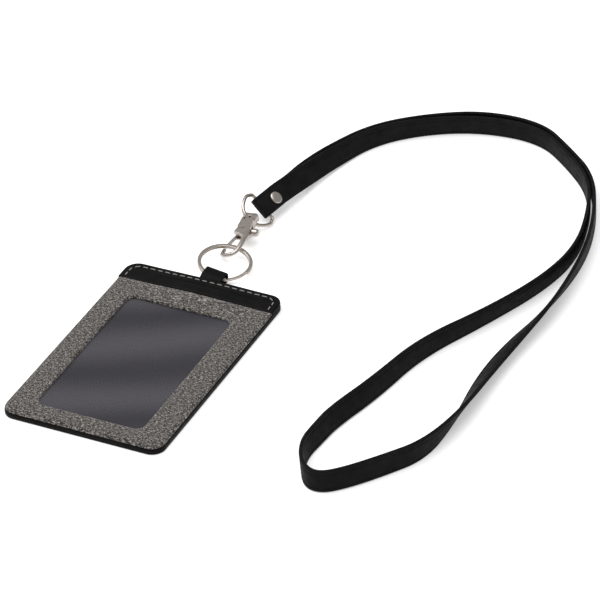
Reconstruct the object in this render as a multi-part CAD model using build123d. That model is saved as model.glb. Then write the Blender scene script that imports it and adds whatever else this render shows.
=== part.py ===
"""Lanyard badge holder: a flat card pocket, a split ring, a trigger hook, a D-ring and a narrow neck strap.

Millimetres, +Z up.  The pocket lies on its back on the plane z = 0, its long side along Y and its
origin at the middle of its back face.  The neck strap lies on the same plane, standing on one edge.
"""
import math
import os
from bisect import bisect_right

from build123d import *

# ---------------------------------------------------------------- pocket
POCKET_W = 74.0
POCKET_H = 118.0
POCKET_CORNER_R = 6.0
BACK_SKIN = 0.6            # thickness of the back cover's floor
RIM_TOP = 2.6              # height of the back cover's rim
RIM_W = 2.0                # width of the back cover's rim
FRONT_TOP = 3.9            # height of the front face
BOARD_T = 0.9
LINING_T = 0.4
FILM_T = 0.25
FABRIC_T = 0.55
FRONT_INSET = 0.9          # the fabric front stands this far inside the rim
WINDOW_W = 49.2
WINDOW_H = 84.4
WINDOW_X = -0.8            # the middle of the window
WINDOW_Y = -6.9
WINDOW_R = 4.0
WINDOW_LAP = 4.0           # how far the clear sheet reaches past the window
LAP_PLAY = 0.3             # room round the clear sheet
MOUTH_HALF = 29.0          # half the width of the card's mouth in the rim
BAND_Y = 46.5              # lower edge of the top band
BRIDGE_MARGIN = 1.2        # the band's raised bridge reaches this far past the tab on each side
BRIDGE_T = 0.5
BAND_STITCH_INSET = 2.8
STITCH_PITCH = 3.5
STITCH_LENGTH = 2.6
STITCH_W = 0.5
STITCH_T = 0.35

# ---------------------------------------------------------------- tab that holds the split ring
TAB_X = 1.6
TAB_W = 9.6
TAB_T = 0.8
TAB_PLAY = 0.1
TAB_ROOT_Y = 50.0
TAB_EYE_Y = (61.6, 64.0)   # middles of the round ends of the tab's eye
TAB_EYE_R = 1.65

# ---------------------------------------------------------------- split ring
RING_R = 12.0
RING_WIRE_W = 1.6
RING_TURN_T = 0.78
RING_GAP = 0.04
RING_CENTRE = (1.1, 73.6, 3.75)
RING_SLOPE_X = -0.13       # how the ring's plane falls to the right
RING_SLOPE_Y = 0.05        # and rises away from the pocket
RING_RAMP = 50.0           # degrees over which the wire climbs to its second turn
RING_RAMP_AT = 300.0       # where the climb is, from the ring's own X

# ---------------------------------------------------------------- trigger hook
HOOK_BASE = (-0.6, 78.1, 4.1)    # lowest point of the claw
HOOK_ALONG = (-0.067, 0.995, 0.070)
HOOK_ROLL = 7.0
HOOK_EYE_Y = 27.0
HOOK_TOP_Y = 30.2
HOOK_PIN_Y = 19.0
EYE_HALF_W = 3.25
EYE_Z = (-1.2, 0.9)
EYE_HOLE = (4.8, 2.9)      # the eye's hole, across and along the hook
HOOK_PLATE_Z = (0.1, 1.9)
HOOK_BACK_Z = (-2.95, -2.1)
CLAW_WIRE_R = 0.95
CLAW_ROUTE = [(3.9, 15.5, 1.1), (4.3, 8.0, 1.35), (3.6, 3.0, 0.8), (0.6, 0.95, -0.1), (-2.6, 1.6, -1.0),
              (-3.5, 5.0, -1.4)]
CLAW_RADII = [12.0, 3.0, 3.2, 2.2]
PIN_R = 0.7
PIN_PLAY = 0.05
GATE_Z = (-2.0, -0.75)
GATE_HUB_TOP = 0.0
GATE_HUB_R = 1.75
SPRING_RECESS = (1.45, 1.0)      # radius and depth of the hollow in the gate's hub
SPRING_WIRE_R = 0.16
SPRING_COIL_R = 1.08
KNOB_CENTRE = (6.2, 18.4, -0.3)
KNOB_R = 1.6
KNOB_LENGTH = 3.4
PIN_HEAD_T = 0.3

# ---------------------------------------------------------------- D-ring
D_WIRE_R = 0.8
D_BAR_HALF = 6.9
D_BOW_DEPTH = 10.8
D_SHOULDER = 1.4           # how far the ring's shoulders stand out past its bar
FOLD_PLAY = 0.05           # room round the bar in the strap's fold

# ---------------------------------------------------------------- strap
STRAP_W = 10.0
STRAP_T = 1.7
BAR_CENTRE = (-1.36, 115.8, 6.45)
END_ALONG = (0.158, 0.987, 0.0)
END_LEAN = 50.0
END_LENGTH = 12.5          # from the D-ring's bar to where the fold ends
RIVET_ALONG = 7.4
RIVET_ACROSS = -0.8
RIVET_CAP_R = 2.8
RIVET_STEM_R = 1.2
RIVET_CAP_T = 0.9
RIVET_POST_R = 0.7
RIVET_WASHER_T = 0.5

# Each row is x, y, how far the lower edge stands above the surface, and the lean in degrees from
# upright, positive where the strap's top leans to the right of its direction.
INNER_ROUTE = [
    (1.7, 127.97, 3.88, -50.0),
    (5.0, 145.3, 2.0, -38.0),
    (9.2, 164.8, 0.4, -22.0),
    (18.5, 190.3, 0.0, -3.0),
    (38.5, 208.0, 0.0, 8.0),
    (62.0, 218.4, 0.0, 9.0),
    (88.0, 219.2, 0.0, 7.0),
    (106.5, 205.3, 0.0, 3.0),
    (123.5, 188.6, 0.0, 0.0),
    (132.2, 168.0, 0.0, -1.0),
    (138.6, 138.5, 0.0, -5.0),
    (134.9, 111.5, 0.0, -10.0),
    (122.5, 79.5, 0.0, -10.0),
    (105.8, 46.0, 0.0, 6.0),
    (100.0, 13.0, 0.0, 18.0),
    (93.0, -12.0, 0.0, 20.0),
    (92.0, -25.0, 0.0, 18.0),
]
OUTER_ROUTE = [
    (92.0, -25.0, 0.0, 18.0),
    (91.4, -36.2, 0.0, 11.0),
    (95.0, -46.8, 0.0, 4.0),
    (100.9, -53.6, 0.0, -4.0),
    (107.6, -53.9, 0.0, -6.0),
    (115.0, -47.2, 0.0, -7.0),
    (124.5, -35.2, 0.0, -6.0),
    (136.6, -17.6, 0.0, 0.0),
    (139.4, 9.8, 0.0, 27.0),
    (137.6, 40.2, 0.0, 54.0),
    (138.9, 65.5, 0.0, 56.0),
    (143.4, 95.0, 0.0, 32.0),
    (143.5, 131.8, 0.0, 8.0),
    (137.2, 162.0, 0.0, 0.0),
    (124.9, 191.4, 0.0, -2.0),
    (105.8, 208.6, 0.0, -5.0),
    (88.0, 222.6, 0.0, -8.0),
    (60.5, 222.6, 0.0, -10.0),
    (36.8, 210.1, 0.0, -8.0),
    (17.0, 191.5, 0.0, 3.0),
    (7.0, 166.0, 0.2, 22.0),
    (2.9, 149.8, 0.5, 36.0),
    (2.19, 138.01, 1.5, 45.0),
    (0.61, 128.14, 2.58, 50.0),
]


def rounded_plate(width, height, radius, low, high, centre=(0.0, 0.0)):
    """A plate with round corners between two heights."""
    outline = Pos(centre[0], centre[1], low) * RectangleRounded(width, height, radius)
    return extrude(outline, high - low)


def block(x, y, z):
    """A block from its low and high value on each axis."""
    middle = Pos((x[0] + x[1]) / 2, (y[0] + y[1]) / 2, (z[0] + z[1]) / 2)
    return middle * Box(x[1] - x[0], y[1] - y[0], z[1] - z[0])


# ---------------------------------------------------------------- pocket pieces
def back_cover():
    """A tray: the back skin and a solid rim that carries the front."""
    tray = rounded_plate(POCKET_W, POCKET_H, POCKET_CORNER_R, 0, RIM_TOP)
    inside = rounded_plate(POCKET_W - 2 * RIM_W, POCKET_H - 2 * RIM_W, POCKET_CORNER_R - RIM_W,
                           BACK_SKIN, RIM_TOP)
    mouth = block((-MOUTH_HALF, MOUTH_HALF), (POCKET_H / 2 - RIM_W - 1, POCKET_H / 2 + 1),
                  (BACK_SKIN + BOARD_T + LINING_T, RIM_TOP))
    return tray - inside - mouth


def inner_sheet(low, thickness):
    """A sheet that fills the back cover's tray."""
    return rounded_plate(POCKET_W - 2 * RIM_W, POCKET_H - 2 * RIM_W, POCKET_CORNER_R - RIM_W,
                         low, low + thickness)


def window_cutter(grow):
    """The window's opening, larger all round by grow."""
    return rounded_plate(WINDOW_W + 2 * grow, WINDOW_H + 2 * grow, WINDOW_R + grow,
                         0, 2 * FRONT_TOP, (WINDOW_X, WINDOW_Y))


def front_outline(inset, low, high):
    """The front's outline under the top band's lower edge, set in from the rim by inset."""
    plate = rounded_plate(POCKET_W - 2 * inset, POCKET_H - 2 * inset, POCKET_CORNER_R - inset, low, high)
    below_band = block((-POCKET_W, POCKET_W), (-POCKET_H, BAND_Y - inset + FRONT_INSET), (low, high))
    return plate & below_band


def window_film():
    """The clear sheet behind the window."""
    return rounded_plate(WINDOW_W + 2 * WINDOW_LAP, WINDOW_H + 2 * WINDOW_LAP, WINDOW_R,
                         RIM_TOP, RIM_TOP + FILM_T, (WINDOW_X, WINDOW_Y))


def front_board():
    """The stiff frame that the fabric is wrapped round."""
    low = RIM_TOP + FILM_T
    frame = front_outline(FRONT_INSET + FABRIC_T, low, FRONT_TOP - FABRIC_T)
    return frame - window_cutter(FABRIC_T)


def fabric_front():
    """The fabric skin: a face, an outer turned edge and a turned edge round the window."""
    low = RIM_TOP + FILM_T
    skin = front_outline(FRONT_INSET, low, FRONT_TOP)
    return skin - front_board() - window_cutter(0)


def front_spacer():
    """The strip between the rim and the front, round the clear sheet."""
    low = RIM_TOP
    strip = front_outline(FRONT_INSET + FABRIC_T, low, low + FILM_T)
    lap = WINDOW_LAP + LAP_PLAY
    return strip - rounded_plate(WINDOW_W + 2 * lap, WINDOW_H + 2 * lap, WINDOW_R, low, low + FILM_T,
                                 (WINDOW_X, WINDOW_Y))


def tab_root_height():
    """The lowest and highest level of the folded tab inside the pocket."""
    return RIM_TOP, RIM_TOP + 2 * TAB_T


def top_band():
    """The smooth band across the top, with a raised bridge over the tab."""
    low, high = tab_root_height()
    band = rounded_plate(POCKET_W, POCKET_H, POCKET_CORNER_R, RIM_TOP, FRONT_TOP)
    band = band & block((-POCKET_W, POCKET_W), (BAND_Y, POCKET_H), (RIM_TOP, FRONT_TOP))
    side = TAB_W / 2 + BRIDGE_MARGIN
    bridge = block((TAB_X - side, TAB_X + side), (BAND_Y + 3, POCKET_H / 2 - 0.3),
                   (FRONT_TOP - 0.3, high + BRIDGE_T))
    bridge = chamfer(bridge.edges().group_by(Axis.Z)[-1], 0.7)
    half = TAB_W / 2 + TAB_PLAY
    slot = block((TAB_X - half, TAB_X + half), (TAB_ROOT_Y - TAB_PLAY, POCKET_H), (low - 1, high))
    return band + bridge - slot


def band_stitching():
    """The row of thread dashes along the band's top and ends."""
    side = POCKET_W / 2 - BAND_STITCH_INSET
    top = POCKET_H / 2 - BAND_STITCH_INSET
    corner = POCKET_CORNER_R - 1.5
    foot = BAND_Y + 1.5
    row = FilletPolyline((-side, foot), (-side, top), (side, top), (side, foot), radius=corner)
    count = round(row.length / STITCH_PITCH)
    dashes = []
    for i in range(count):
        where = (i + 0.5) / count
        spot = row @ where
        heading = row % where
        turn = math.degrees(math.atan2(heading.Y, heading.X))
        on_bridge = abs(spot.X - TAB_X) < TAB_W / 2 + 2 and spot.Y > BAND_Y + 5
        level = tab_root_height()[1] + BRIDGE_T if on_bridge else FRONT_TOP
        dash = Box(STITCH_LENGTH, STITCH_W, STITCH_T)
        dashes.append(Pos(spot.X, spot.Y, level + STITCH_T / 2) * Rot(0, 0, turn) * dash)
    return Compound(dashes)


def ring_height_at(x, y):
    """The height of the ring's middle plane above a point of the surface."""
    return RING_CENTRE[2] + RING_SLOPE_X * (x - RING_CENTRE[0]) + RING_SLOPE_Y * (y - RING_CENTRE[1])


def tab_loop():
    """One strip, folded back on itself round the split ring and glued into the pocket's top."""
    near, far = TAB_EYE_Y
    low, high = tab_root_height()
    middle = (near + far) / 2
    level = ring_height_at(TAB_X, middle)
    tilt = math.degrees(math.atan(RING_SLOPE_X))
    along_x = Pos(TAB_X, middle, level) * Rot(0, -tilt, 0) * Rot(0, 90, 0) * Rot(0, 0, 90)
    outside = extrude(SlotCenterToCenter(far - near, 2 * (TAB_EYE_R + TAB_T)), TAB_W / 2, both=True)
    eye = extrude(SlotCenterToCenter(far - near, 2 * TAB_EYE_R), TAB_W, both=True)
    root = block((TAB_X - TAB_W / 2, TAB_X + TAB_W / 2), (TAB_ROOT_Y, near), (low, high))
    return root + along_x * outside - along_x * eye


# ---------------------------------------------------------------- split ring
def ring_frame():
    """The ring's own frame: its middle, with Z along its axis."""
    normal = Vector(-RING_SLOPE_X, -RING_SLOPE_Y, 1)
    return Plane(origin=RING_CENTRE, x_dir=(1, 0, RING_SLOPE_X), z_dir=normal)


def ring_section(angle, level):
    """The wire's section at an angle of the ring, at a height along its axis."""
    turn = Rot(0, 0, angle)
    place = Pos(RING_R - RING_WIRE_W / 2, 0, level) * Rot(90, 0, 0)
    return turn * place * RectangleRounded(RING_WIRE_W, RING_TURN_T, RING_TURN_T * 0.35)


def ring_turn(level, start, sweep):
    """A flat arc of wire at one level."""
    return revolve(ring_section(start, level), Axis.Z, sweep)


def split_ring():
    """Two turns of flat wire, joined by a short climb."""
    step = (RING_TURN_T + RING_GAP) / 2
    sweep = 360.0 - RING_RAMP - 2.0
    lower = ring_turn(-step, RING_RAMP_AT - sweep, sweep)
    upper = ring_turn(step, RING_RAMP_AT + RING_RAMP, sweep)
    parts = 6
    sections = [ring_section(RING_RAMP_AT + RING_RAMP * i / parts, -step + 2 * step * i / parts)
                for i in range(parts + 1)]
    climb = loft(sections, ruled=True)
    return ring_frame().location * (lower + upper + climb)


# ---------------------------------------------------------------- trigger hook
def hook_frame():
    """The hook's own frame: the foot of its claw, Y towards its eye, Z out of its front plate."""
    along = Vector(*HOOK_ALONG).normalized()
    level = along.cross(Vector(0, 0, 1)).normalized()
    roll = math.radians(HOOK_ROLL)
    right = level * math.cos(roll) + level.cross(along) * math.sin(roll)
    return Plane(origin=HOOK_BASE, x_dir=right, z_dir=right.cross(along))


def hook_plate(points, low, high):
    """A plate of the hook from its outline."""
    outline = make_face(Polyline(*points, close=True))
    return extrude(Pos(0, 0, low) * outline, high - low)


def claw():
    """The round-section claw from the body's right arm to its tip."""
    path = FilletPolyline(*CLAW_ROUTE, radius=CLAW_RADII)
    return sweep((path ^ 0) * Circle(CLAW_WIRE_R), path=path)


def hook_body():
    """Eye, front plate, back plate, left wall and claw in one casting."""
    front = hook_plate([(-1.7, 21.0), (-2.5, 15.2), (0.6, 14.2), (2.4, 13.0), (5.2, 13.4), (4.2, 17.5),
                        (3.3, 22.0), (2.6, 26.0), (-1.5, 26.0)], *HOOK_PLATE_Z)
    back = hook_plate([(-1.9, 26.0), (-2.5, 15.4), (3.4, 15.4), (2.9, 26.0)], *HOOK_BACK_Z)
    wall = block((-2.6, -2.0), (19.5, 25.0), (HOOK_BACK_Z[0], HOOK_PLATE_Z[1]))
    head = block((-2.9, 2.9), (23.6, 26.0), (HOOK_BACK_Z[0], HOOK_PLATE_Z[1]))
    eye = block((-EYE_HALF_W, EYE_HALF_W), (24.6, HOOK_TOP_Y), EYE_Z)
    eye = fillet(eye.edges().filter_by(Axis.Z), 1.0)
    hole = Pos(0, HOOK_EYE_Y, 0) * Box(*EYE_HOLE, 4)
    arm_side = block((3.0, 5.0), (13.4, 15.4), (HOOK_PLATE_Z[0] - 0.05, HOOK_PLATE_Z[1]))
    pin_hole = Pos(0, HOOK_PIN_Y, 0) * Cylinder(PIN_R, 12)
    return front + back + wall + head + (eye - hole) + arm_side + claw() - pin_hole


def hook_gate():
    """The lever that closes the claw: a thin arm on the left and a thumb knob on the right."""
    low, high = GATE_Z
    hub = Pos(0, HOOK_PIN_Y, (low + GATE_HUB_TOP) / 2) * Cylinder(GATE_HUB_R, GATE_HUB_TOP - low)
    arm = hook_plate([(-1.75, 18.9), (-3.0, 14.0), (-4.1, 7.2), (-2.9, 6.6), (-1.6, 13.4), (0.4, 17.4)],
                     low, high)
    thumb = hook_plate([(0.0, 20.7), (4.4, 20.3), (4.8, 16.6), (3.6, 16.0), (0.6, 17.3)], low, GATE_HUB_TOP)
    knob = Pos(*KNOB_CENTRE) * Rot(90, 0, 90) * Cylinder(KNOB_R, KNOB_LENGTH)
    knob = fillet(knob.edges(), 0.7)
    hole = Pos(0, HOOK_PIN_Y, 0) * Cylinder(PIN_R + PIN_PLAY, 12)
    radius, depth = SPRING_RECESS
    recess = Pos(0, HOOK_PIN_Y, low + depth / 2) * Cylinder(radius, depth)
    return hub + arm + thumb + knob - hole - recess


def gate_pin():
    """The riveted pin that the gate turns on, with a low round head at each end."""
    span = HOOK_PLATE_Z[1] - HOOK_BACK_Z[0]
    middle = (HOOK_PLATE_Z[1] + HOOK_BACK_Z[0]) / 2
    pin = Pos(0, HOOK_PIN_Y, middle) * Cylinder(PIN_R, span)
    for end, side in ((HOOK_PLATE_Z[1], 1), (HOOK_BACK_Z[0], -1)):
        pin += Pos(0, HOOK_PIN_Y, end + side * PIN_HEAD_T / 2) * Cylinder(PIN_R + 0.3, PIN_HEAD_T)
    return pin


def gate_spring():
    """The torsion spring coiled round the pin in the gate's recess."""
    pitch = 2.25 * SPRING_WIRE_R
    start = GATE_Z[0] + SPRING_WIRE_R / 2
    coil = Helix(pitch=pitch, height=2 * pitch, radius=SPRING_COIL_R)
    body = sweep(Plane(coil @ 0, z_dir=coil % 0) * Circle(SPRING_WIRE_R), path=coil)
    return Pos(0, HOOK_PIN_Y, start) * body


# ---------------------------------------------------------------- strap end
def end_frame():
    """The strap end's frame: the D-ring's bar, X along the strap and Y towards its upper edge."""
    along = Vector(*END_ALONG).normalized()
    left = Vector(0, 0, 1).cross(along)
    lean = math.radians(END_LEAN)
    up_edge = left * math.sin(lean) + Vector(0, 0, 1) * math.cos(lean)
    return Plane(origin=BAR_CENTRE, x_dir=along, z_dir=along.cross(up_edge))


def d_ring_path():
    """The middle line of the D-ring's wire in the strap end's frame."""
    half = D_BAR_HALF
    reach = half + D_SHOULDER
    bow = D_BOW_DEPTH
    side = [(0, half, 1.3), (-3.4, reach, 3.0), (-8.2, reach - 2.2, 4.0), (-bow, 2.8, 4.0)]
    corners = side + [(x, -y, radius) for x, y, radius in reversed(side)]
    points = [(x, y) for x, y, radius in corners]
    return FilletPolyline(*points, close=True, radius=[radius for x, y, radius in corners])


def d_ring():
    """A wire D: a straight bar inside the strap's fold and a round bow outside it."""
    path = d_ring_path()
    start = Plane(path @ 0, z_dir=path % 0)
    return end_frame().location * sweep(start * Circle(D_WIRE_R), path=path)


def rivet_place():
    """Where the rivet goes through the strap end."""
    return Pos(RIVET_ALONG, RIVET_ACROSS, 0)


def strap_fold():
    """The strap's end, turned round the D-ring's bar, with a ply on each side of the other end."""
    inner = D_WIRE_R + FOLD_PLAY
    outer = inner + STRAP_T
    upper = block((0, END_LENGTH), (-STRAP_W / 2, STRAP_W / 2), (inner, outer))
    lower = block((0, END_LENGTH), (-STRAP_W / 2, STRAP_W / 2), (-outer, -inner))
    turn = Rot(90, 0, 0) * (Cylinder(outer, STRAP_W) - Cylinder(inner, STRAP_W))
    turn = turn & block((-2 * outer, 0), (-STRAP_W, STRAP_W), (-outer, outer))
    stem = rivet_place() * Cylinder(RIVET_STEM_R, 4 * outer)
    return end_frame().location * (upper + lower + turn - stem)


def rivet_cap():
    """The domed head on the strap's face, with the hollow stem under it."""
    face = D_WIRE_R + FOLD_PLAY + STRAP_T
    head = Pos(0, 0, face + RIVET_CAP_T / 2) * Cylinder(RIVET_CAP_R, RIVET_CAP_T)
    head = fillet(head.edges().group_by(Axis.Z)[-1], 0.6)
    stem = Cylinder(RIVET_STEM_R, 2 * face) - Cylinder(RIVET_POST_R, 2 * face)
    return end_frame().location * rivet_place() * (head + stem)


def rivet_base():
    """The flat washer and post that close the rivet from the back."""
    face = D_WIRE_R + FOLD_PLAY + STRAP_T
    washer = Pos(0, 0, -face - RIVET_WASHER_T / 2) * Cylinder(RIVET_CAP_R, RIVET_WASHER_T)
    post = Pos(0, 0, -face + 1.5) * Cylinder(RIVET_POST_R, 3.0)
    return end_frame().location * rivet_place() * (washer + post)


# ---------------------------------------------------------------- strap runs
def corner_radii(route):
    """Each corner's arc, as large as its two runs allow."""
    radii = []
    for before, here, after in zip(route, route[1:], route[2:]):
        one = Vector(here[0] - before[0], here[1] - before[1])
        two = Vector(after[0] - here[0], after[1] - here[1])
        half_turn = math.radians(one.get_angle(two)) / 2
        radii.append(0.45 * min(one.length, two.length) / math.tan(half_turn))
    return radii


def route_samples(path):
    """Lengths along a path at its joints, and between them on arcs and long runs."""
    samples = [0.0]
    corners = [0.0]
    for i, edge in enumerate(path.edges()):
        start = samples[-1]
        is_arc = i % 2 == 1
        steps = max(2, math.ceil(edge.length / (7.0 if is_arc else 20.0)))
        if is_arc:
            corners.append(start + edge.length / 2)
        samples += [start + edge.length * k / steps for k in range(1, steps + 1)]
    corners.append(samples[-1])
    return samples, corners


def between(at, corners, values):
    """A value read off between the route's points."""
    i = min(max(bisect_right(corners, at) - 1, 0), len(corners) - 2)
    share = (at - corners[i]) / (corners[i + 1] - corners[i])
    return values[i] + share * (values[i + 1] - values[i])


def strap_run(route, name):
    """A strap standing on its lower edge along a route; an end at the fold is square to the fold."""
    radii = corner_radii(route)
    path = FilletPolyline(*[(x, y) for x, y, lift, lean in route], radius=radii)
    samples, corners = route_samples(path)
    along = Vector(*END_ALONG).normalized()
    fold_end = Vector(BAR_CENTRE[0], BAR_CENTRE[1], 0) + along * END_LENGTH
    fold_reach = STRAP_T
    sections = []
    for at in samples:
        lift = between(at, corners, [row[2] for row in route])
        lean = math.radians(between(at, corners, [row[3] for row in route]))
        spot = path.position_at(at / path.length)
        heading = path.tangent_at(at / path.length)
        if (spot - fold_end).length < fold_reach:
            heading = along * math.copysign(1, heading.dot(along))
        right = heading.cross(Vector(0, 0, 1))
        height = STRAP_W / 2 * math.cos(lean) + STRAP_T / 2 * abs(math.sin(lean)) + lift
        up_edge = right * math.sin(lean) + Vector(0, 0, 1) * math.cos(lean)
        frame = Plane(origin=(spot.X, spot.Y, height), x_dir=up_edge, z_dir=heading)
        sections.append(frame * Rectangle(STRAP_W, STRAP_T))
    solid = loft(sections, ruled=True)
    print(name, "length", round(path.length, 1), "radii", [round(r, 1) for r in radii],
          "volume", round(solid.volume), "of", round(path.length * STRAP_W * STRAP_T))
    return solid


def outer_run_end():
    """The last stretch of the outer run, held between the fold's two plies."""
    tongue = block((2.0, END_LENGTH), (-STRAP_W / 2, STRAP_W / 2), (-STRAP_T / 2, STRAP_T / 2))
    stem = rivet_place() * Cylinder(RIVET_STEM_R, 4 * STRAP_T)
    return end_frame().location * (tongue - stem)


def hooked(shape):
    """A piece of the hook, moved from the hook's frame to its place."""
    return hook_frame().location * shape


def build():
    lining_low = BACK_SKIN + BOARD_T
    parts = {
        "back_cover": back_cover(),
        "back_board": inner_sheet(BACK_SKIN, BOARD_T),
        "pocket_lining": inner_sheet(lining_low, LINING_T),
        "window_film": window_film(),
        "front_spacer": front_spacer(),
        "front_board": front_board(),
        "fabric_front": fabric_front(),
        "top_band": top_band(),
        "band_stitching": band_stitching(),
        "tab_loop": tab_loop(),
        "split_ring": split_ring(),
        "hook_body": hooked(hook_body()),
        "hook_gate": hooked(hook_gate()),
        "gate_pin": hooked(gate_pin()),
        "gate_spring": hooked(gate_spring()),
        "d_ring": d_ring(),
        "strap_fold": strap_fold(),
        "strap_outer_end": outer_run_end(),
        "rivet_cap": rivet_cap(),
        "rivet_base": rivet_base(),
        "strap_inner_run": strap_run(INNER_ROUTE, "inner run"),
        "strap_outer_run": strap_run(OUTER_ROUTE, "outer run"),
    }
    os.makedirs("parts", exist_ok=True)
    for node, shape in parts.items():
        export_step(shape, f"parts/{node}.step")
    return parts


build()
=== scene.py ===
"""Looks of the lanyard badge holder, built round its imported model.  Metres, +Z up."""

import math
import random

import bmesh
import bpy
from mathutils import Matrix, Vector, noise


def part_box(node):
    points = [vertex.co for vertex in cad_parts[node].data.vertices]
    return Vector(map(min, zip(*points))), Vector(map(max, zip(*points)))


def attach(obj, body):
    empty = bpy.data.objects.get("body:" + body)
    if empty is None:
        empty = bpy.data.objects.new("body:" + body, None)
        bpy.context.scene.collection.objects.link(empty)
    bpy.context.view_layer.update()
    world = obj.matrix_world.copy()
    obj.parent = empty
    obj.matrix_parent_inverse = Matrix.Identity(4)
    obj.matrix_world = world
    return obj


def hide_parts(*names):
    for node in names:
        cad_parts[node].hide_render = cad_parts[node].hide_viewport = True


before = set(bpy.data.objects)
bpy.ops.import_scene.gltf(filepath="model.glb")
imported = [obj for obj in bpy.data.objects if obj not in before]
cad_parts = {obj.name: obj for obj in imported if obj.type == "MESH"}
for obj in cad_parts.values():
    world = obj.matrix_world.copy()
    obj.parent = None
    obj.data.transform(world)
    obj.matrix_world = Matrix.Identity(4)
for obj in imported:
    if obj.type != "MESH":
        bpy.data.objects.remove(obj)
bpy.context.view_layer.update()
random.seed(11)

MM = 0.001
UP = Vector((0, 0, 1))
scene = bpy.context.scene
scene.view_settings.view_transform = "Standard"

# ---------------------------------------------------------------- camera
CAMERA_TARGET = Vector((0.0409, 0.0652, 0.0))
CAMERA_AZIMUTH = math.radians(26.83)
CAMERA_ELEVATION = math.radians(34.44)
CAMERA_DISTANCE = 1.710
CAMERA_ROLL = 0.0399
CAMERA_LENS = 240.0

# ---------------------------------------------------------------- strap
STRAP_W = 10.0 * MM
STRAP_T = 1.7 * MM
STITCH_FROM_EDGE = 1.7 * MM
STITCH_PITCH = 3.0 * MM
STITCH_LENGTH = 2.3 * MM
STITCH_LEVEL = 0.41        # from the strap's middle, as a share of its thickness
RIVET_PLACE = (7.4 * MM, -0.8 * MM, 0)               # in the strap end's frame
BAR_CENTRE = Vector((-0.00136, 0.1158, 0.00645))     # the D-ring's bar in the strap's fold
END_ALONG = Vector((0.158, 0.987, 0.0)).normalized()
END_LEAN = math.radians(50.0)
# Rows in the strap end's own plane: along the strap from the bar, and out of its face.
LOWER_PLY = [(0.0125, -0.0017), (0.0060, -0.0017), (0.0017, -0.0017), (-0.0017, -0.0017)]
UPPER_PLY = [(-0.0017, 0.0017), (0.0017, 0.0017), (0.0060, 0.0017)]
TONGUE = [(0.0075, 0.0), (0.0022, 0.0)]
# Each row is x, y, how far the lower edge stands above the surface, and the lean in degrees from
# upright, positive where the strap's top leans to the right of its direction.
INNER_ROUTE = [
    (0.0017, 0.12797, 0.00388, -50.0),
    (0.005, 0.1453, 0.002, -38.0),
    (0.0092, 0.1648, 0.0004, -22.0),
    (0.0185, 0.1903, 0.0, -3.0),
    (0.0385, 0.208, 0.0, 8.0),
    (0.062, 0.2184, 0.0, 9.0),
    (0.088, 0.2192, 0.0, 7.0),
    (0.1065, 0.2053, 0.0, 3.0),
    (0.1235, 0.1886, 0.0, 0.0),
    (0.1322, 0.168, 0.0, -1.0),
    (0.1386, 0.1385, 0.0, -5.0),
    (0.1349, 0.1115, 0.0, -10.0),
    (0.1225, 0.0795, 0.0, -10.0),
    (0.1058, 0.046, 0.0, 6.0),
    (0.1, 0.013, 0.0, 18.0),
    (0.093, -0.012, 0.0, 20.0),
]
OUTER_ROUTE = [
    (0.092, -0.025, 0.0, 18.0),
    (0.0914, -0.0362, 0.0, 11.0),
    (0.095, -0.0468, 0.0, 4.0),
    (0.1009, -0.0536, 0.0, -4.0),
    (0.1076, -0.0539, 0.0, -6.0),
    (0.115, -0.0472, 0.0, -7.0),
    (0.1245, -0.0352, 0.0, -6.0),
    (0.1366, -0.0176, 0.0, 0.0),
    (0.1394, 0.0098, 0.0, 27.0),
    (0.1376, 0.0402, 0.0, 54.0),
    (0.1389, 0.0655, 0.0, 56.0),
    (0.1434, 0.095, 0.0, 32.0),
    (0.1435, 0.1318, 0.0, 8.0),
    (0.1372, 0.162, 0.0, 0.0),
    (0.1249, 0.1914, 0.0, -2.0),
    (0.1058, 0.2086, 0.0, -5.0),
    (0.088, 0.2226, 0.0, -8.0),
    (0.0605, 0.2226, 0.0, -10.0),
    (0.0368, 0.2101, 0.0, -8.0),
    (0.017, 0.1915, 0.0, 3.0),
    (0.007, 0.166, 0.0002, 22.0),
    (0.0029, 0.1498, 0.0005, 36.0),
    (0.00219, 0.13801, 0.0015, 45.0),
    (0.00061, 0.12814, 0.00258, 50.0),
]


# ---------------------------------------------------------------- node and mesh helpers
SHARP_ANGLE = math.radians(42)       # edges that turn further than this are drawn sharp


def new_material(name, color, roughness, metallic=0.0, **values):
    """A Principled material, its node tree and its shader."""
    made = bpy.data.materials.new(name)
    made.use_nodes = True
    shader = made.node_tree.nodes["Principled BSDF"]
    shader.inputs["Base Color"].default_value = (*color, 1.0)
    shader.inputs["Roughness"].default_value = roughness
    shader.inputs["Metallic"].default_value = metallic
    for key, value in values.items():
        shader.inputs[key.replace("_", " ")].default_value = value
    return made, made.node_tree, shader


def add_node(tree, kind, inputs=None, **settings):
    """A shader node; an input is a value or another node's socket."""
    made = tree.nodes.new(kind)
    for key, value in settings.items():
        setattr(made, key, value)
    for key, value in (inputs or {}).items():
        if isinstance(value, bpy.types.NodeSocket):
            tree.links.new(value, made.inputs[key])
        else:
            made.inputs[key].default_value = value
    return made


def coordinates(tree, scale, turn=0.0):
    """The piece's own coordinates turned about Z, one unit for each of scale's lengths in millimetres."""
    place = add_node(tree, "ShaderNodeTexCoord")
    return add_node(tree, "ShaderNodeMapping", {0: place.outputs["Object"], "Scale": [s * MM for s in scale],
                                               "Rotation": (0, 0, turn)}, vector_type="TEXTURE").outputs[0]


def noise_at(tree, scale, detail=2.0, roughness=0.5):
    """Noise whose lumps are about scale's lengths in millimetres."""
    made = add_node(tree, "ShaderNodeTexNoise", {"Vector": coordinates(tree, scale), "Scale": 1.0,
                                                "Detail": detail, "Roughness": roughness})
    return made.outputs["Fac"]


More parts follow.
